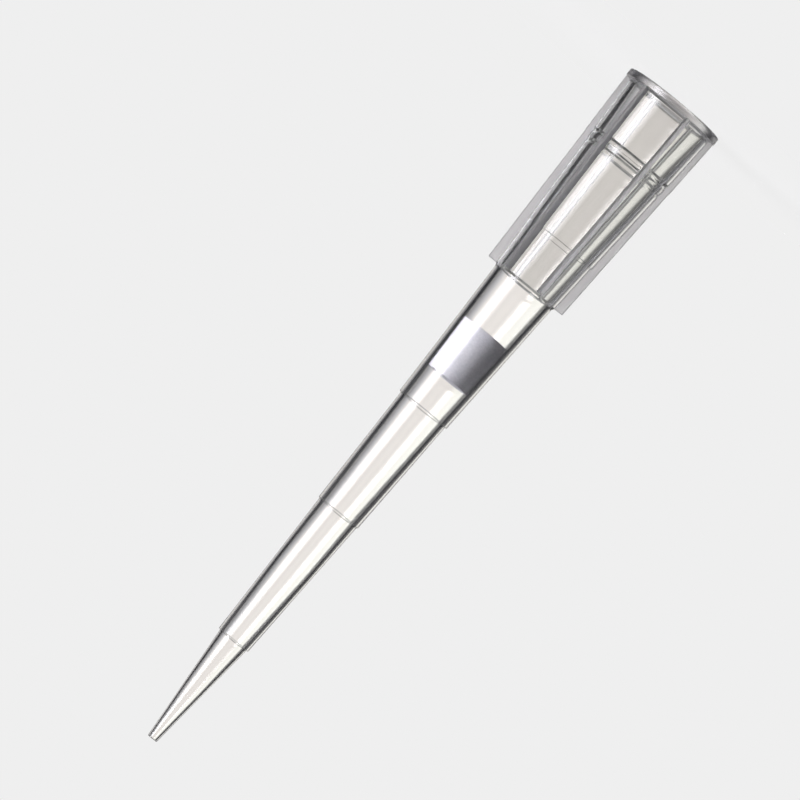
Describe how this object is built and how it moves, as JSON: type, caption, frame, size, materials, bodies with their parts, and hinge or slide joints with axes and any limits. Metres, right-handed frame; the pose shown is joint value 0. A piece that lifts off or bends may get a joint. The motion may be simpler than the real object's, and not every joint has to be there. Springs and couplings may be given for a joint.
{
  "type": "filter pipette tip",
  "caption": "Clear tapered pipette tip with a ribbed collar, flanged rim, stepped volume marks on the tube and a porous filter plug inside the bore.",
  "frame": {"origin": "centre of the rim's flat face, at the open mouth that takes the pipette's cone", "axes": "+Z along the tip's axis from the rim towards the dispensing end; +X through the middle of one fin"},
  "size_m": [0.0074, 0.0074, 0.0542],
  "materials": {
    "clear_polypropylene": "clear polished injection moulding",
    "porous_polyethylene": "sintered, fine open pores"
  },
  "bodies": {
    "root": {"tip_body": "clear_polypropylene", "filter_plug": "porous_polyethylene"}
  },
  "joints": []
}
